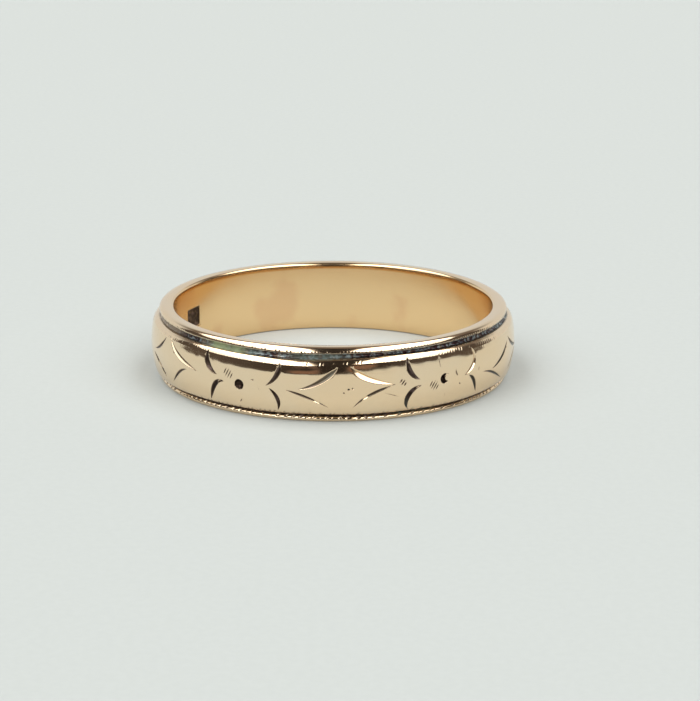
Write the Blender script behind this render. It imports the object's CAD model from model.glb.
"""A hand engraved yellow gold wedding band, lying on its edge on a pale table between two windows."""

import math

import bmesh
import bpy
import numpy as np
from mathutils import Matrix, Vector


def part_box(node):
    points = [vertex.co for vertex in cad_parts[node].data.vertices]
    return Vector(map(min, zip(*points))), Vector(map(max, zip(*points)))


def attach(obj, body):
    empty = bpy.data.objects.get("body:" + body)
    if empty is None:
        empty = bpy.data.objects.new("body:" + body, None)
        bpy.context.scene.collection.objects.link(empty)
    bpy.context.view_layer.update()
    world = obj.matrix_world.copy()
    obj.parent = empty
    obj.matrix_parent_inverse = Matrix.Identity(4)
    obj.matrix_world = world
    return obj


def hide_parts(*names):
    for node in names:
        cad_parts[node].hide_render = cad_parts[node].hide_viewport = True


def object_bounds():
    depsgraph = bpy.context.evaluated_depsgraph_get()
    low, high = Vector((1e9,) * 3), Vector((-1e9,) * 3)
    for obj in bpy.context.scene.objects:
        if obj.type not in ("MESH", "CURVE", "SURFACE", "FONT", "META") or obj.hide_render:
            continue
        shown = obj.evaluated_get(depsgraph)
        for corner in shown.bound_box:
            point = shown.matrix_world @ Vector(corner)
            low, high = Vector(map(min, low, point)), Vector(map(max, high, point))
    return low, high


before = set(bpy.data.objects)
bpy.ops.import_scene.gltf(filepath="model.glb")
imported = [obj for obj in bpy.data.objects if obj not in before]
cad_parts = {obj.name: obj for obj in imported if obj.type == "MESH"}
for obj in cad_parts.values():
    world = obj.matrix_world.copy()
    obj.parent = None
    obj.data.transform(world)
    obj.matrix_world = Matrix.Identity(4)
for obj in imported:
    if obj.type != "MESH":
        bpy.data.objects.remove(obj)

cad_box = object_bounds()
mm = 0.001

# ---- The camera -------------------------------------------------------------------------
# A close-up camera a hand's length in front of the band, looking down at it a little. It
# stands about a millimetre to the right, so that the band sits left of the frame's centre.

look_down = math.radians(15.9)
camera_tilt = math.radians(0.17)
camera_place = Vector((0.93, -131.66, 38.62)) * mm
sensor_width = 36
focal_length = 128.4
nearest = 5 * mm
farthest = 20
camera_data = bpy.data.cameras.new("camera")
camera_data.sensor_width = sensor_width
camera_data.lens = focal_length
camera_data.clip_start = nearest
camera_data.clip_end = farthest
camera = bpy.data.objects.new("camera", camera_data)
bpy.context.scene.collection.objects.link(camera)
camera.location = camera_place
aim = Matrix.Rotation(math.pi / 2 - look_down, 3, "X") @ Matrix.Rotation(camera_tilt, 3, "Z")
camera.rotation_euler = aim.to_euler()
bpy.context.scene.camera = camera
bpy.context.scene.view_settings.view_transform = "Standard"


# ---- The room ---------------------------------------------------------------------------
# Polished metal shows what stands round it: a pale wall behind, two soft windows that lean
# in over the table from left and right, and between and under them the dark of the room
# on the viewer's side, with the viewer's hands faintly in it.

class Wire:
    """A socket of a node tree. Arithmetic on it adds Math nodes; add() makes any other node."""

    def __init__(self, tree, socket=None):
        self.tree = tree
        self.socket = socket

    def add(self, kind, settings=None, sockets=None, output=0):
        node = self.tree.nodes.new("ShaderNode" + kind)
        for name, value in (settings or {}).items():
            if name == "stops":
                ramp = node.color_ramp.elements
                while len(ramp) < len(value):
                    ramp.new(1.0)
                for element, (place, colour) in zip(ramp, value):
                    element.position = place
                    element.color = (*colour, 1)
            else:
                setattr(node, name, value)
        for name, value in (sockets or {}).items():
            if isinstance(value, Wire):
                self.tree.links.new(value.socket, node.inputs[name])
            else:
                node.inputs[name].default_value = value
        return Wire(self.tree, node.outputs[output] if node.outputs else None)

    def maths(self, operation, *values):
        return self.add("Math", {"operation": operation}, dict(enumerate(values)))

    def __add__(self, other):
        return self.maths("ADD", self, other)

    def __sub__(self, other):
        return self.maths("SUBTRACT", self, other)

    def __rsub__(self, other):
        return self.maths("SUBTRACT", other, self)

    def __mul__(self, other):
        return self.maths("MULTIPLY", self, other)

    __radd__ = __add__
    __rmul__ = __mul__

    def rise(self, start, stop, low=0.0, high=1.0):
        """Goes smoothly from low to high while this value goes from start to stop."""
        limits = {"From Min": start, "From Max": stop, "To Min": low, "To Max": high}
        return self.add("MapRange", {"interpolation_type": "SMOOTHSTEP"}, {"Value": self, **limits})

    def mix(self, low, high):
        """Two colours mixed by this value."""
        return self.add("Mix", {"data_type": "RGBA"}, {0: self, 6: low, 7: high}, output=2)


dusk_light = 0.03
side_light = 0.07
ceiling_light = 0.25
wall_light = 0.7
window_light = 4.9
window_fade = 3.9  # how much weaker a window shines from further round to the side
hand_light = 0.2
warm_dusk = (1.0, 0.82, 0.72, 1)
skin = (1.0, 0.6, 0.45, 1)
daylight = (0.98, 1.0, 0.99, 1)

room = bpy.data.worlds.new("room")
bpy.context.scene.world = room
room.use_nodes = True
room.node_tree.nodes.clear()
air = Wire(room.node_tree)
heading = air.add("TexCoord")
to_right, away, upwards = (air.add("SeparateXYZ", sockets={"Vector": heading}, output=i) for i in range(3))
aside = air.maths("ABSOLUTE", to_right)
# Each rise says where, as a share of the whole direction, something starts and where it is full.
wall = away.rise(0.38, 0.5) * upwards.rise(0.66, 0.4)
far_edge = away - upwards * 1.6 + to_right * 0.15
windows = aside.rise(0.17, 0.27) * upwards.rise(0.37, 0.43) * far_edge.rise(-0.7, -0.79)
hands = aside.rise(0.12, 0.2) * aside.rise(0.5, 0.36) * upwards.rise(0.02, 0.06) * upwards.rise(0.2, 0.14)
ceiling = away.rise(0.0, 0.5) * upwards.rise(0.5, 0.8)
dusk = dusk_light + to_right * to_right * side_light + ceiling * ceiling_light
glow = (dusk + wall * wall_light + windows * (window_light - aside * window_fade)
        + hands * away.rise(0.0, -0.6) * hand_light)
tint = (windows + wall).rise(0, 0.5).mix(hands.mix(warm_dusk, skin), daylight)
background = air.add("Background", sockets={"Color": tint, "Strength": glow})
air.add("OutputWorld", sockets={"Surface": background})


# ---- The table --------------------------------------------------------------------------
# A sheet of smooth pale paper, matt, with a faint tooth. The band's lower edge stands on it.
# It glows a little of its own colour, as thin paper does where light soaks through it.

table_half = 900 * mm
table_gap = 0.01 * mm  # keeps the paper just clear of the metal
paper_tones = ((0.435, 0.453, 0.439, 1), (0.445, 0.463, 0.449, 1))
soaked_light = 0.17

table_mesh = bmesh.new()
bmesh.ops.create_grid(table_mesh, x_segments=1, y_segments=1, size=table_half)
bmesh.ops.translate(table_mesh, vec=(0, 0, cad_box[0].z - table_gap), verts=table_mesh.verts)
table_data = bpy.data.meshes.new("table")
table_mesh.to_mesh(table_data)
table_mesh.free()
table = bpy.data.objects.new("table", table_data)
bpy.context.scene.collection.objects.link(table)


def paper():
    material = bpy.data.materials.new("pale paper")
    material.use_nodes = True
    material.node_tree.nodes.clear()
    sheet = Wire(material.node_tree)
    spot = sheet.add("TexCoord", output=3)
    tooth = sheet.add("TexNoise", sockets={"Vector": spot, "Scale": 2600.0, "Detail": 4.0})
    colour = tooth.rise(0.3, 0.7).mix(*paper_tones)
    bump = sheet.add("Bump", sockets={"Height": tooth, "Strength": 0.25, "Distance": 0.02 * mm})
    surface = sheet.add("BsdfPrincipled", sockets={
        "Base Color": colour, "Roughness": 0.85, "Specular IOR Level": 0.25, "Normal": bump,
        "Emission Color": colour, "Emission Strength": soaked_light})
    sheet.add("OutputMaterial", sockets={"Surface": surface})
    return material


table_data.materials.append(paper())


# ---- The band ---------------------------------------------------------------------------
# One piece of 14 karat gold, turned to a domed outside between two beaded ridges and a
# groove at each edge, then cut by hand with a graver and worn smooth over many years.

low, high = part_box("band")
crown_radius = high.x
middle = (low.z + high.z) / 2
half_width = (high.z - low.z) / 2
crown_wall = 1.25 * mm
rim_wall = 0.8 * mm
bore_radius = crown_radius - crown_wall
rim_radius = bore_radius + rim_wall
rim_width = 0.26 * mm
groove_widths = (0.26 * mm, 0.16 * mm)  # at the upper and the lower edge, which is worn narrower
groove_depth = 0.13 * mm
groove_slope = 0.05 * mm  # how far each side of a groove leans over its floor
dome_radius = 5 * mm  # of the section
shoulder_radii = (0.4 * mm, 0.2 * mm)
rim_edges = (0.24 * mm, 0.12 * mm)  # the rest of a rim's width rounds in to its groove
rim_turn = 55  # degrees that a rim rounds in to its groove
bore_edge = 0.15 * mm
worn_corner = 0.014 * mm  # how soft wear has made every corner

fine = 0.004 * mm  # spacing of the points that the section is worked out on


def arc(radius, height, size, start, stop):
    """Points of an arc of the section; a tilt of 0 faces outwards and 90 faces up."""
    steps = max(4, int(abs(math.radians(stop - start)) * size / fine))
    tilts = np.radians(np.linspace(start, stop, steps))
    return [(radius + size * math.cos(t), height + size * math.sin(t)) for t in tilts]


def edge_line(groove_width, shoulder_radius, rim_edge):
    """The outline of one edge, from the bore round the rim and down to the top of the dome."""
    groove_top = half_width - rim_width
    groove_floor = groove_top - groove_width
    shoulder_height = groove_floor - shoulder_radius
    reach = dome_radius - shoulder_radius
    meeting = math.asin(shoulder_height / reach)
    dome_centre = crown_radius - dome_radius
    floor_radius = rim_radius - groove_depth
    rim_lip = rim_width - rim_edge
    return [
        *arc(bore_radius + bore_edge, half_width - bore_edge, bore_edge, 180, 90),
        *arc(rim_radius - rim_edge, half_width - rim_edge, rim_edge, 90, 0),
        *arc(rim_radius - rim_lip, half_width - rim_edge, rim_lip, 0, -rim_turn),
        (floor_radius, groove_top - groove_slope),
        (floor_radius, groove_floor + groove_slope),
        *arc(dome_centre + reach * math.cos(meeting), shoulder_height, shoulder_radius,
             90, math.degrees(meeting)),
        *arc(dome_centre, 0, dome_radius, math.degrees(meeting), 0),
    ]


def section():
    """The closed outline as radius and height at every fine step of its length, corners worn soft."""
    upper, below = (edge_line(*sizes) for sizes in zip(groove_widths, shoulder_radii, rim_edges))
    lower = [(radius, -height) for radius, height in reversed(below)]
    corners = np.array([(bore_radius, 0), *upper, *lower[1:], (bore_radius, 0)])
    steps = np.hypot(*np.diff(corners, axis=0).T)
    run = np.concatenate([[0], np.cumsum(steps)])
    count = int(run[-1] / fine)
    along = np.arange(count) * run[-1] / count
    radius = np.interp(along, run, corners[:, 0])
    height = np.interp(along, run, corners[:, 1])
    reach = int(4 * worn_corner / fine)
    weight = np.exp(-0.5 * (np.arange(-reach, reach + 1) * fine / worn_corner) ** 2)
    weight /= weight.sum()
    soft = [np.convolve(np.pad(line, reach, mode="wrap"), weight, "valid") for line in (radius, height)]
    return run[-1], along, soft[0], soft[1]


length, trace_marks, outline_radius, outline_height = section()
mark = length / len(trace_marks)
slope_radius = (np.roll(outline_radius, -1) - np.roll(outline_radius, 1)) / (2 * mark)
slope_height = (np.roll(outline_height, -1) - np.roll(outline_height, 1)) / (2 * mark)


def read(values, trace):
    """A value of the outline at any trace, which is the length along it from the bore's middle."""
    return np.interp(trace, trace_marks, values, period=length)


# The beads: a knurling wheel rolled them along the two ridges of each edge. Wear has taken
# most of them down to faint slanting nicks; the lowest row is the coarsest and least worn.
# Each row: outwards from the rim and up from the middle, reach to each side and depth, in
# millimetres, and the number of beads round the band.
bead_rows = (
    (-0.01, 1.74, 0.12, 0.013, 316),
    (0.27, 1.23, 0.16, 0.0055, 316),
    (-0.02, -1.73, 0.11, 0.050, 158),
    (0.20, -1.46, 0.12, 0.026, 237),
)


def bead_lines():
    """The trace of the middle of each beaded ridge."""
    lines = []
    for outwards, height, *_ in bead_rows:
        gap = np.hypot(outline_radius - rim_radius - outwards * mm, outline_height - height * mm)
        lines.append(trace_marks[int(gap.argmin())])
    return lines


bead_traces = bead_lines()

plain_rows = 0.4 * mm  # between two rows of points round the band, on flat stretches
dome_rows = 0.19 * mm
bead_row_gap = 0.065 * mm
turn_per_row = 0.5  # radians that the section may turn from one row to the next
dome_rise = 0.1 * mm  # over the rims, where the rows for the dome begin


def rows():
    """Traces of the rows round the band: close together where the section turns sharply."""
    tilt = np.unwrap(np.arctan2(slope_height, slope_radius))
    turning = np.abs(np.gradient(tilt, mark))
    on_the_dome = outline_radius > rim_radius + dome_rise
    spacing = np.where(on_the_dome, 1 / dome_rows, 1 / plain_rows)
    for line, (_, _, reach, _, _) in zip(bead_traces, bead_rows):
        spacing[np.abs(trace_marks - line) < reach * mm] = 1 / bead_row_gap
    crowd = np.cumsum(spacing + turning / turn_per_row) * mark
    count = int(round(crowd[-1]))
    return np.interp(np.arange(count) * crowd[-1] / count, crowd, trace_marks)


def around(angle, centre):
    """The turn from a centre, between half a turn back and half a turn on."""
    return (angle - centre + math.pi) % (2 * math.pi) - math.pi


# The engraver's cuts. Each is a list of points, in millimetres round and across the dome from its
# motif's middle, then the cut's widest width, where along it that width comes (0 to 1), how far the
# graver leaned to one side (-1 to 1), and how much grime is left in it (0 to 1).
front_diamond = [
    ([(-2.42, -0.14), (-1.8, 0.02), (-1.2, 0.31), (-0.7, 0.66), (-0.27, 1.05)], 0.3, 0.72, -0.2, 0.8),
    ([(0.36, 1.06), (0.76, 0.7), (1.21, 0.45), (1.88, 0.22), (2.76, 0.02)], 0.31, 0.3, 0.5, 0.08),
    ([(2.65, 0.0), (1.93, -0.18), (1.3, -0.48), (0.8, -0.8), (0.41, -1.2)], 0.17, 0.4, 0.3, 0.9),
    ([(-3.02, -0.18), (-2.35, -0.36), (-1.75, -0.6), (-1.23, -0.84), (-0.69, -1.14)], 0.15, 0.4, -0.3, 0.9),
]
right_diamond = [
    ([(-2.05, -0.34), (-1.2, -0.11), (-0.42, 0.28), (0.13, 0.72)], 0.2, 0.6, -0.3, 0.9),
    ([(0.34, 0.9), (0.9, 0.4), (1.6, 0.1), (2.6, -0.05)], 0.26, 0.35, 0.4, 0.8),
    ([(2.5, -0.15), (1.5, -0.4), (0.5, -1.1)], 0.18, 0.5, 0.3, 0.9),
    ([(-3.0, -0.27), (-2.2, -0.42), (-1.4, -0.77), (-0.5, -1.2)], 0.17, 0.45, -0.3, 0.9),
]
left_diamond = [
    ([(-1.9, 0.1), (-0.95, 0.42), (-0.1, 1.18)], 0.2, 0.6, -0.2, 0.9),
    ([(0.42, 1.23), (0.9, 0.8), (1.35, 0.53), (2.1, 0.27), (3.12, 0.02)], 0.3, 0.45, -0.3, 0.4),
    ([(2.27, -0.07), (1.8, -0.2), (1.3, -0.54), (0.62, -1.15)], 0.18, 0.45, 0.3, 0.9),
    ([(-2.2, -0.15), (-1.0, -0.55), (-0.1, -1.12)], 0.26, 0.55, 0.3, 0.9),
]
left_flower = [
    ([(-2.05, 1.36), (-2.1, 0.95), (-1.94, 0.55), (-1.34, 0.14)], 0.34, 0.45, 0.2, 0.95),
    ([(-0.88, -0.18), (-1.24, -0.2), (-1.5, -0.46), (-1.74, -0.9), (-1.94, -1.42)], 0.3, 0.4, -0.3, 1.0),
    ([(2.3, 1.25), (2.26, 0.8), (2.1, 0.45), (1.55, -0.06)], 0.28, 0.3, -0.2, 0.9),
    ([(1.73, -0.16), (1.98, -0.39), (2.2, -0.7), (2.25, -1.0), (2.13, -1.42)], 0.24, 0.5, 0.2, 1.0),
]
right_flower = [
    ([(-2.19, 1.33), (-2.18, 0.92), (-2.01, 0.53), (-1.5, 0.15)], 0.3, 0.45, 0.2, 0.95),
    ([(-1.42, -0.19), (-1.78, -0.28), (-2.08, -0.54), (-2.27, -0.95), (-2.12, -1.45)], 0.3, 0.55, -0.2, 1.0),
    ([(2.05, 1.2), (2.18, 0.88), (2.2, 0.5), (1.95, 0.22), (1.4, -0.1)], 0.27, 0.6, 0.3, 0.2),
    ([(1.69, -0.18), (2.06, -0.43), (2.3, -0.85), (2.5, -1.3)], 0.25, 0.4, 0.2, 0.9),
]
motif_row = [front_diamond, right_flower, right_diamond, left_flower, front_diamond,
             right_flower, left_diamond, right_flower, left_diamond, left_flower]
first_diamond = math.radians(3.5)
crowding = 0.1
cut_steepness = 0.62  # depth of a cut for each half width
cut_lip = 0.005 * mm  # how far wear has rounded a cut's edges
grime_depth = 0.014 * mm  # a cut as deep as this is dark with grime
cut_floor = 0.02  # how blunt the graver's point was, as a share of the cut's half width, squared
taper_power = 0.85  # under 1, a cut is fuller along its length than a sine
no_width = 1e-9  # keeps a cut's pointed ends from dividing by nothing


def motif_angle(number):
    even = 2 * math.pi * number / len(motif_row)
    return first_diamond + even - crowding * math.sin(even)


scratch_width = 0.085
scratch_gap = 0.15


def scratches(place, count, size, lean):
    """A patch of fine parallel scratches, clipped to a circle, such as a slipped polishing stick leaves."""
    made = []
    for k in range(count):
        aside = (k - (count - 1) / 2) * scratch_gap
        reach = math.sqrt(max(size ** 2 - aside ** 2, 0.01))
        along = Vector((math.cos(lean), math.sin(lean)))
        across = Vector((-along.y, along.x)) * aside
        ends = [Vector(place) + across + along * step for step in (-reach, 0, reach)]
        made.append(([tuple(end) for end in ends], scratch_width, 0.5, 0.3, 1.0))
    return made


# Slips of the tool and later scratches, by the number of the motif that they lie beside.
extra_marks = {
    0: scratches((3.15, 0.1), 3, 0.2, math.radians(50)) + [
        ([(2.1, -0.36), (2.6, -0.52), (3.1, -0.7)], 0.05, 0.5, 0.0, 0.35)],
    1: scratches((-0.66, -0.3), 4, 0.31, math.radians(58)) + [
        ([(-0.33, 1.24), (-0.31, 0.95), (-0.25, 0.62)], 0.09, 0.3, 0.0, 0.5),
        ([(0.78, 0.36), (0.8, 0.12), (0.92, -0.04)], 0.13, 0.6, 0.0, 0.7),
        ([(1.0, -0.46), (1.06, -0.5), (1.12, -0.52)], 0.09, 0.5, 0.0, 1.0),
        ([(0.04, -0.75), (0.06, -0.95), (0.03, -1.1)], 0.05, 0.5, 0.0, 0.5),
        ([(2.57, 0.14), (2.55, 0.0), (2.54, -0.14)], 0.07, 0.5, 0.0, 0.8)],
    9: scratches((-0.61, 0.32), 4, 0.31, math.radians(62)) + [
        ([(0.02, -1.18), (0.12, -1.06), (0.2, -0.93)], 0.08, 0.4, 0.0, 1.0),
        ([(1.08, -0.02), (1.16, -0.2), (1.28, -0.42)], 0.04, 0.5, 0.0, 0.4),
        ([(0.76, 0.2), (0.83, 0.16), (0.92, 0.24)], 0.08, 0.5, 0.0, 0.8)],
}

# Drilled dots: where the middle is, the radius, and how far burnishing has closed it from one side.
# The front diamond has three small ones, and each flower one in its middle.
open_pit = (0.04, -0.19, 0.27, 0)
closed_pit = (0.0, -0.04, 0.27, 0.75)
pits = {0: [(0.02, -0.29, 0.05, 0), (0.27, -0.1, 0.06, 0), (0.47, -0.06, 0.05, 0)]}
for number, motif in enumerate(motif_row):
    if number % 2:
        pits[number] = [open_pit if motif is left_flower else closed_pit]

# Spots where the grime is rubbed out of a cut: the motif, the place and the radius.
rubbed = ((0, 1.14, -0.6, 0.14), (0, -1.36, -0.77, 0.15), (1, -1.62, -0.33, 0.12),
          (9, -1.2, -0.24, 0.12), (8, -0.95, -0.5, 0.3))


class Cut:
    """One cut, ready to measure how deep the metal is taken away at any point of the dome."""

    def __init__(self, angle, points, width, widest, lean, grime):
        points = np.array(points) * mm
        steps = np.hypot(*np.diff(points, axis=0).T)
        share = np.concatenate([[0], np.cumsum(steps)]) / steps.sum()
        power = min(3, len(points) - 1)
        fits = [np.polyfit(share, points[:, axis], power) for axis in (0, 1)]
        self.marks = np.linspace(0, 1, 25)
        self.path = np.stack([np.polyval(fit, self.marks) for fit in fits], 1)
        self.angle = angle
        self.half = width * mm / 2
        self.widest = widest
        self.lean = lean
        self.grime = grime

    def near(self, angle, up, margin):
        """Where a point is from the cut's middle line, and which points are close to it."""
        spot = np.stack([around(angle, self.angle) * crown_radius, up], 1)
        reach = self.half + margin
        inside = (spot > self.path.min(0) - reach) & (spot < self.path.max(0) + reach)
        return spot, np.flatnonzero(inside.all(1))

    def measure(self, spot):
        """Signed distance from the middle line and the share of the way along it."""
        best = np.full(len(spot), 1.0)
        side = np.zeros(len(spot))
        share = np.zeros(len(spot))
        for k in range(len(self.marks) - 1):
            start, step = self.path[k], self.path[k + 1] - self.path[k]
            offset = spot - start
            part = np.clip(offset @ step / (step @ step), 0, 1)
            gap = offset - part[:, None] * step
            distance = np.hypot(*gap.T)
            closer = distance < best
            cross = step[0] * offset[:, 1] - step[1] * offset[:, 0]
            best = np.where(closer, distance, best)
            side = np.where(closer, np.sign(cross) * distance, side)
            share = np.where(closer, self.marks[k] + part / (len(self.marks) - 1), share)
        return side, share

    def taper(self, share):
        """The cut's width at a share of its length, as a share of its widest width."""
        rising = np.clip(share / self.widest, 0, 1)
        falling = np.clip((1 - share) / (1 - self.widest), 0, 1)
        return np.sin(np.minimum(rising, falling) * math.pi / 2) ** taper_power

    def depth(self, angle, up):
        """A V with its point to one side if the graver leaned, a blunt floor and rounded lips."""
        depth = np.zeros(len(angle))
        spot, close = self.near(angle, up, 10 * cut_lip)
        if len(close):
            side, share = self.measure(spot[close])
            half = self.half * self.taper(share) + no_width
            floor = self.lean * half
            left = (side + half) / (half + floor)
            right = (half - side) / (half - floor)
            rounded = 0.5 * (left + right - np.sqrt((left - right) ** 2 + cut_floor))
            flank = cut_steepness * half * rounded
            depth[close] = 0.5 * (flank + np.sqrt(flank ** 2 + cut_lip ** 2))
            depth[close] *= np.clip(half / cut_lip, 0, 1)
        return depth

    def gap(self, angle, up, margin):
        """How far each point is from the edge of the cut, up to the margin."""
        gap = np.full(len(angle), margin)
        spot, close = self.near(angle, up, margin)
        if len(close):
            side, share = self.measure(spot[close])
            gap[close] = np.abs(side) - self.half * self.taper(share)
        return gap


all_cuts = []
all_pits = []
for number, motif in enumerate(motif_row):
    angle = motif_angle(number)
    all_cuts += [Cut(angle, *cut) for cut in motif + extra_marks.get(number, [])]
    all_pits += [(angle, *pit) for pit in pits.get(number, [])]

pit_depth = 0.85  # as a share of the dot's radius


def pitted(angle, up, pit):
    """Depth of one drilled dot."""
    centre, along, across, size, closed = pit
    right = (around(angle, centre) * crown_radius / mm - along) / size
    upper = (up / mm - across) / size
    bowl = np.clip(1 - right ** 2 - upper ** 2, 0, 1) ** 0.6
    if closed:
        flap = np.hypot(right - closed, upper - 0.15 * closed) / closed
        bowl *= np.clip((flap - 0.85) / 0.3, 0, 1)
    return size * mm * pit_depth * bowl


def engraved(angle, up):
    """Depth of metal that the graver and the drill took away, and the grime left in it, 0 to 1."""
    depth = np.zeros(len(angle))
    grime = np.zeros(len(angle))
    for cut in all_cuts:
        deep = cut.depth(angle, up)
        depth = np.maximum(depth, deep)
        grime = np.maximum(grime, cut.grime * np.clip((deep - cut_lip / 2) / grime_depth, 0, 1))
    for pit in all_pits:
        deep = pitted(angle, up, pit)
        depth = np.maximum(depth, deep)
        grime = np.maximum(grime, np.clip(deep / (3 * grime_depth), 0, 1))
    for number, along, across, size in rubbed:
        right = around(angle, motif_angle(number)) * crown_radius / mm - along
        grime *= 1 - np.exp(-((right ** 2 + (up / mm - across) ** 2) / size ** 2) ** 2)
    return depth, grime


# The stamp inside the band: a plain sunk panel, left blank and dark.
stamp_angle = math.radians(-115)
stamp_half = (0.7 * mm, 0.55 * mm)
stamp_depth = 0.07 * mm
stamp_edge = 0.05 * mm


def in_stamp(angle, up):
    """How far inside the panel's border a point of the bore is."""
    return np.minimum(stamp_half[0] - np.abs(around(angle, stamp_angle) * bore_radius),
                      stamp_half[1] - np.abs(up))


def stamped(angle, up):
    return stamp_depth * np.clip(in_stamp(angle, up) / stamp_edge + 0.5, 0, 1)


# Wear isn't even: one stretch on the right is stained the most and has kept its beads the best.
right_shoulder = math.radians(50)
spared_reach = 8  # degrees to each side
spared_depth = 2.2


def drift(angle, seed, waves=7, slowest=3):
    """A smooth value from -1 to 1 that wanders as it goes round the band and meets itself."""
    draw = np.random.default_rng(seed)
    total = np.zeros(np.shape(angle))
    for k in range(waves):
        total += np.sin((slowest + 2 * k) * angle + draw.uniform(0, 2 * math.pi)) / waves ** 0.5
    return np.clip(total, -1, 1)


def least_worn(angle):
    """How much deeper the upper beads still are on the one stretch that wear has spared."""
    aside = np.degrees(around(angle, right_shoulder))
    return spared_depth * np.exp(-(aside / spared_reach) ** 4)


def beaded(angle, trace):
    """Depth of the nicks between the beads. They slant, wander a little, and are worn unevenly."""
    depth = np.zeros(len(angle))
    for number, (line, row) in enumerate(zip(bead_traces, bead_rows)):
        _, _, reach, deepest, beads_round = row
        gap = (trace - line) / (reach * mm)
        near = np.abs(gap) < 1
        turn = angle[near]
        phase = turn * beads_round + 1.3 * gap[near] + 1.5 * drift(turn, number + 10, 9, 11)
        nick = (0.5 - 0.5 * np.cos(phase)) ** 3
        kept = 0.55 + 0.3 * drift(turn, number + 20, 9, 5) + 0.5 * drift(turn, number + 24, 9, 83)
        kept = np.clip(kept, 0, 1.2) * (1 + least_worn(turn) * (number < 2))
        depth[near] = deepest * mm * nick * kept * np.cos(gap[near] * math.pi / 2) ** 2
    return depth


# Where the dome's upper edge is rubbed down: degrees round and millimetres.
rubs = ((51, 0.019), (-52, 0.02))
rub_reach = 9  # degrees to each side
wave_depth = 0.0012


def smooth(value, start, stop):
    share = np.clip((value - start) / (stop - start), 0, 1)
    return share * share * (3 - 2 * share)


def worn(angle, up):
    """The rubbed places, and the shallow waves that wear leaves in a polished dome, long and short."""
    height = up / half_width
    wave = drift(angle + 0.05 * height, 1, 9, 7) * (1 - height ** 2)
    wave += 0.6 * drift(angle - 0.08 * height, 2, 9, 13) * height
    short = drift(angle + 0.1 * height, 3, 11, 61) * np.cos(9 * height + 3 * drift(angle, 4))
    rubbed_off = np.zeros(len(angle))
    for centre, amount in rubs:
        aside = np.degrees(around(angle, math.radians(centre)))
        rubbed_off += amount * np.exp(-(aside / rub_reach) ** 4)
    edge = smooth(up / mm, 0.66, 1.1) * smooth(up / mm, 1.4, 1.12)
    return (wave_depth * (1.6 + wave) + wave_depth * (1 + short) + rubbed_off * edge) * mm


# Years beside another ring have pushed the edges about: here and there the rim and the
# ridge under it lie lower or higher, each given as degrees round, how wide, and millimetres.
rim_pushes = ((-14, 13, -0.1), (22, 20, -0.06), (-52, 8, -0.03))
ridge_pushes = ((-13, 14, -0.1), (22, 15, 0.08))
unevenness = 0.018
edge_flat = 0.12 * mm  # how far from the outermost edges, which stay flat, a push fades out


def pushed(angle, pushes, seed):
    """How far one ridge lies off its line all the way round."""
    total = unevenness * drift(angle, seed, 6, 2)
    for centre, wide, amount in pushes:
        total += amount * np.exp(-(np.degrees(around(angle, math.radians(centre))) / wide) ** 2)
    return total * mm


def swayed(angle, up):
    """How far the upper rim and ridge are pushed along the finger; the lower ones only drift."""
    size = np.abs(up) / mm
    rim = np.clip((size - 1.5) / 0.15, 0, 1)
    ridge = np.clip((size - 0.75) / 0.3, 0, 1) * (1 - rim)
    upper = rim * pushed(angle, rim_pushes, 31) + ridge * pushed(angle, ridge_pushes, 32)
    lower = (rim + ridge) * pushed(angle, (), 33)
    inner = np.clip((half_width - np.abs(up)) / edge_flat, 0.0, 1)
    return np.where(up > 0, upper, lower) * inner


dome_starts = 0.03 * mm  # over the rims
bore_ends = 0.002 * mm  # from the bore's wall


def on_dome(trace):
    return read(outline_radius, trace) > rim_radius + dome_starts


def on_bore(trace):
    return read(outline_radius, trace) < bore_radius + bore_ends


def taken(angle, trace):
    """How far the finished surface lies under the turned blank."""
    up = read(outline_height, trace)
    depth = beaded(angle, trace)
    dome, bore = on_dome(trace), on_bore(trace)
    depth[dome] += engraved(angle[dome], up[dome])[0] + worn(angle[dome], up[dome])
    depth[bore] += stamped(angle[bore], up[bore])
    return depth


def place(angle, trace):
    """Points of the finished surface."""
    depth = taken(angle, trace)
    radius = read(outline_radius, trace) + depth * read(slope_height, trace)
    height = read(outline_height, trace) - depth * read(slope_radius, trace)
    height = height + swayed(angle, height)
    return np.stack([radius * np.sin(angle), -radius * np.cos(angle), height + middle], 1)


hair = 0.003 * mm  # a step short enough to feel the smallest nick


def facing(angle, trace):
    """Normals of the finished surface, from points a hair to each side."""
    turned = hair / crown_radius
    ahead = place(angle + turned, trace) - place(angle - turned, trace)
    up = place(angle, trace + hair) - place(angle, trace - hair)
    normal = np.cross(up, ahead)
    return normal / np.linalg.norm(normal, axis=1)[:, None]


# The blank is spun from its section, and split finer only where there are beads or cuts.
turns = 360


def blank():
    """The section's rows of points, spun round the axis. Each point keeps its trace."""
    made = bmesh.new()
    trace_of = made.verts.layers.float.new("trace")
    ring = []
    for mark in rows():
        radius, height = read(outline_radius, mark), read(outline_height, mark)
        corner = made.verts.new((0, -radius, middle + height))
        corner[trace_of] = mark
        ring.append(corner)
    for one, other in zip(ring, ring[1:] + ring[:1]):
        made.edges.new((one, other))
    bmesh.ops.spin(made, geom=made.verts[:] + made.edges[:], cent=(0, 0, 0), axis=(0, 0, 1),
                   angle=2 * math.pi, steps=turns, use_merge=True)
    bmesh.ops.recalc_face_normals(made, faces=made.faces[:])
    return made, trace_of


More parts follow.
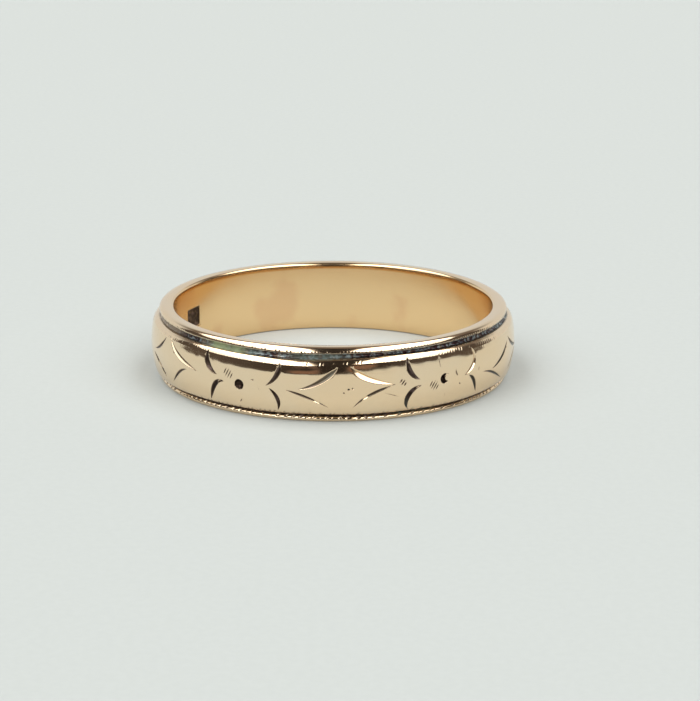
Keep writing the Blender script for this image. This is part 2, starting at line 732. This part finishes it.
def settle(made, trace_of):
    """Angle and trace of every point. The outline starts half way up the bore, where splitting an
    edge between its end and its start mixes their traces, so there the trace is taken from the height."""
    corners = np.array([corner.co for corner in made.verts])
    angle = np.arctan2(corners[:, 0], -corners[:, 1])
    trace = np.array([corner[trace_of] for corner in made.verts])
    up = corners[:, 2] - middle
    wall = np.hypot(*corners[:, :2].T) < bore_radius + bore_ends
    wall &= np.abs(up) < half_width - bore_edge
    trace[wall] = up[wall] % length
    for corner, value in zip(made.verts, trace):
        corner[trace_of] = value
    return angle, trace


front = math.radians(78)  # to each side; the beads there are split finer


def beside_beads(trace):
    """Whether a trace is close enough to a row of beads to need splitting."""
    return any(abs(trace - line) < 1.2 * row[2] * mm for line, row in zip(bead_traces, bead_rows))


def split_beads(made, trace_of):
    """Splits the edges that run round the band along the bead rows."""
    chosen = {2: [], 4: []}
    for edge in made.edges:
        one, other = (corner[trace_of] for corner in edge.verts)
        if abs(one - other) < fine / 4 and beside_beads(one):
            halfway = edge.verts[0].co + edge.verts[1].co
            turn = abs(math.atan2(halfway.x, -halfway.y))
            chosen[4 if turn < front else 2].append(edge)
    for cuts, edges in chosen.items():
        bmesh.ops.subdivide_edges(made, edges=edges, cuts=cuts, use_grid_fill=True)


far = 1.0  # further than any cut
cut_reach = 0.3 * mm


def split_cuts(made, trace_of, margin, cuts):
    """Halves every edge that comes within the margin of the border of a cut, a dot or the stamp."""
    _, trace = settle(made, trace_of)
    made.edges.index_update()
    made.verts.index_update()
    ends = np.array([[corner.index for corner in edge.verts] for edge in made.edges])
    spots = np.array([corner.co for corner in made.verts])
    centre = (spots[ends[:, 0]] + spots[ends[:, 1]]) / 2
    reach = np.linalg.norm(spots[ends[:, 0]] - spots[ends[:, 1]], axis=1) / 2 + margin
    turn = np.arctan2(centre[:, 0], -centre[:, 1])
    up = centre[:, 2] - middle
    dome = np.flatnonzero(on_dome(trace[ends]).all(1))
    gap = np.full(len(centre), far)
    for cut in cuts:
        gap[dome] = np.minimum(gap[dome], cut.gap(turn[dome], up[dome], cut_reach))
    for centre_angle, along, across, size, _ in all_pits:
        away_from = np.hypot(around(turn[dome], centre_angle) * crown_radius - along * mm,
                             up[dome] - across * mm)
        gap[dome] = np.minimum(gap[dome], away_from - size * mm)
    bore = np.flatnonzero(on_bore(trace[ends]).all(1))
    gap[bore] = np.abs(in_stamp(turn[bore], up[bore]))
    chosen = [edge for edge, close in zip(made.edges, gap < reach) if close]
    bmesh.ops.subdivide_edges(made, edges=chosen, cuts=1, use_grid_fill=True)


margins = (0.02 * mm, 0.01 * mm, 0)  # of the three rounds of splitting; the last is for the front


def finished():
    """The blank, split and then pressed to the finished surface, with that surface's own normals."""
    made, trace_of = blank()
    split_beads(made, trace_of)
    front_cuts = [cut for cut in all_cuts if math.cos(cut.angle) > 0]
    for margin, cuts in zip(margins, (all_cuts, all_cuts, front_cuts)):
        split_cuts(made, trace_of, margin, cuts)
    wide = [face for face in made.faces if len(face.verts) > 4]
    bmesh.ops.triangulate(made, faces=wide)
    angle, trace = settle(made, trace_of)
    for corner, point in zip(made.verts, place(angle, trace)):
        corner.co = point
    mesh = bpy.data.meshes.new("gold_band")
    made.to_mesh(mesh)
    made.free()
    mesh.shade_smooth()
    mesh.normals_split_custom_set_from_vertices(facing(angle, trace))
    return mesh, angle, trace


# What the finish follows on the surface: grime in the cuts, a dark film in the grooves that is
# thicker and stained round the right and the front of the upper one, and verdigris there.
film_starts = (0.6 * mm, 0.5 * mm)  # from the upper and from the lower edge of the band
film_stops = (0.2 * mm, 0.24 * mm)
film_edge = 0.04 * mm
film_height = 0.06 * mm  # over the rims
bore_side = 0.4 * mm
stain_reach = 114  # degrees to each side of its middle
stain_edge = 12
dark_nick = 0.012 * mm  # a nick as deep as this is dark


def verdigris(angle):
    """How green the grime in the groove is: on two stretches in front, and in spots elsewhere."""
    degrees = np.degrees(angle)
    stretch = np.exp(-((degrees + 35) / 10) ** 4) + 0.55 * np.exp(-((degrees + 4) / 9) ** 4)
    spots = 0.5 * np.clip(drift(angle, 41, 9, 5), 0, 1) * (np.abs(degrees) > 60)
    return np.clip(stretch + spots, 0, 1)


def grooves(angle, up, radius):
    """The film in both grooves, and the stain in the upper one, each 0 to 1."""
    above = up > 0
    start = half_width - np.where(above, *film_starts)
    stop = half_width - np.where(above, *film_stops)
    film = np.clip((np.abs(up) - start) / film_edge, 0, 1)
    film *= np.clip((stop - np.abs(up)) / film_edge, 0, 1)
    film *= radius < rim_radius + film_height
    film *= radius >= bore_radius + bore_side
    from_middle = np.abs(np.degrees(around(angle, right_shoulder)))
    stained = np.clip((stain_reach - from_middle) / stain_edge, 0.2, 1)
    film *= np.where(above, 0.6 + 0.4 * stained, 1)
    return film, film * above * stained


def colour_by(mesh, name, values):
    mesh.attributes.new(name, "FLOAT", "POINT").data.foreach_set("value", values.astype(np.float32))


band_mesh, band_angle, band_trace = finished()
band_up = read(outline_height, band_trace)
band_radius = read(outline_radius, band_trace)
dome = on_dome(band_trace)
bore = on_bore(band_trace)
cuts = np.zeros(len(band_angle))
cuts[dome] = engraved(band_angle[dome], band_up[dome])[1]
panel = np.zeros(len(band_angle))
panel[bore] = stamped(band_angle[bore], band_up[bore]) / stamp_depth
film, stain = grooves(band_angle, band_up, band_radius)
colour_by(band_mesh, "cut", cuts)
colour_by(band_mesh, "green", verdigris(band_angle))
colour_by(band_mesh, "groove", film)
colour_by(band_mesh, "stain", stain)
colour_by(band_mesh, "nick", np.clip(beaded(band_angle, band_trace) / dark_nick, 0, 1))
colour_by(band_mesh, "panel", panel)
colour_by(band_mesh, "bore", np.clip(1 - (band_radius - bore_radius) / bore_edge, 0, 1))
band = bpy.data.objects.new("gold_band", band_mesh)
bpy.context.scene.collection.objects.link(band)

worn_gold = ((0.88, 0.70, 0.49, 1), (0.90, 0.69, 0.46, 1))
bore_gold = ((0.905, 0.648, 0.355, 1), (0.85, 0.57, 0.31, 1))  # clean, and where skin has dulled it
brown_grime = ((0.05, 0.032, 0.024, 1), (0.14, 0.095, 0.085, 1))
slate_grime = (0.07, 0.078, 0.066, 1)
stain_tones = ((0.38, (0.045, 0.022, 0.028)), (0.47, (0.10, 0.055, 0.045)),
               (0.52, (0.09, 0.11, 0.13)), (0.62, (0.34, 0.38, 0.39)))
green_tones = ((0.20, 0.26, 0.22, 1), (0.35, 0.40, 0.23, 1))


def gold():
    """Polished yellow gold with old polishing lines, and tarnish left in what a cloth can't reach."""
    material = bpy.data.materials.new("old gold")
    material.use_nodes = True
    material.node_tree.nodes.clear()
    metal = Wire(material.node_tree)
    spot = metal.add("TexCoord", output=3)
    cut, groove, stain, green, nick, panel, bore = (
        metal.add("Attribute", {"attribute_name": name}, output=2)
        for name in ("cut", "groove", "stain", "green", "nick", "panel", "bore"))
    lines = metal.add("Mapping", sockets={"Vector": spot, "Scale": (1.0, 1.0, 14.0)})  # run round the band
    polish = metal.add("TexNoise", sockets={"Vector": lines, "Scale": 900.0, "Detail": 6.0})
    cloudy = metal.add("TexNoise", sockets={"Vector": spot, "Scale": 320.0, "Detail": 4.0})
    mottled = metal.add("TexNoise", sockets={"Vector": spot, "Scale": 2400.0, "Detail": 4.0})
    grain = metal.add("TexNoise", sockets={"Vector": spot, "Scale": 5200.0, "Detail": 3.0})
    film = groove * mottled.rise(0.3, 0.5, 0.7, 1.0)
    tarnish = (cut + film + nick * mottled.rise(0.35, 0.6, 0.2, 0.7)
               + panel * grain.rise(0.35, 0.6, 0.8, 1.0)).rise(0.0, 1.0)
    patina = stain * green * mottled.rise(0.35, 0.55, 0.45, 1.0)
    inside = cloudy.rise(0.54, 0.68).mix(*bore_gold)
    clean = bore.mix(cloudy.rise(0.35, 0.65).mix(*worn_gold), inside)
    grime = cloudy.rise(0.55, 0.68).mix(mottled.rise(0.45, 0.7).mix(*brown_grime), slate_grime)
    dirt = stain.mix(grime, metal.add("ValToRGB", {"stops": stain_tones}, {"Fac": grain}))
    colour = patina.mix(tarnish.mix(clean, dirt), green.rise(0.6, 0.95).mix(*green_tones))
    rough = polish.rise(0.3, 0.7, 0.07, 0.11) + bore * 0.1 + tarnish * 0.27 + patina * 0.3
    relief = polish * (1 - bore * 0.7) + grain * 0.5 + mottled * film * 2
    bump = metal.add("Bump", sockets={"Height": relief, "Strength": 0.1, "Distance": 0.004 * mm})
    surface = metal.add("BsdfPrincipled", sockets={"Base Color": colour, "Metallic": 1 - patina,
                                                   "Roughness": rough, "Normal": bump})
    metal.add("OutputMaterial", sockets={"Surface": surface})
    return material


band_mesh.materials.append(gold())
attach(band, "root")
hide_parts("band")
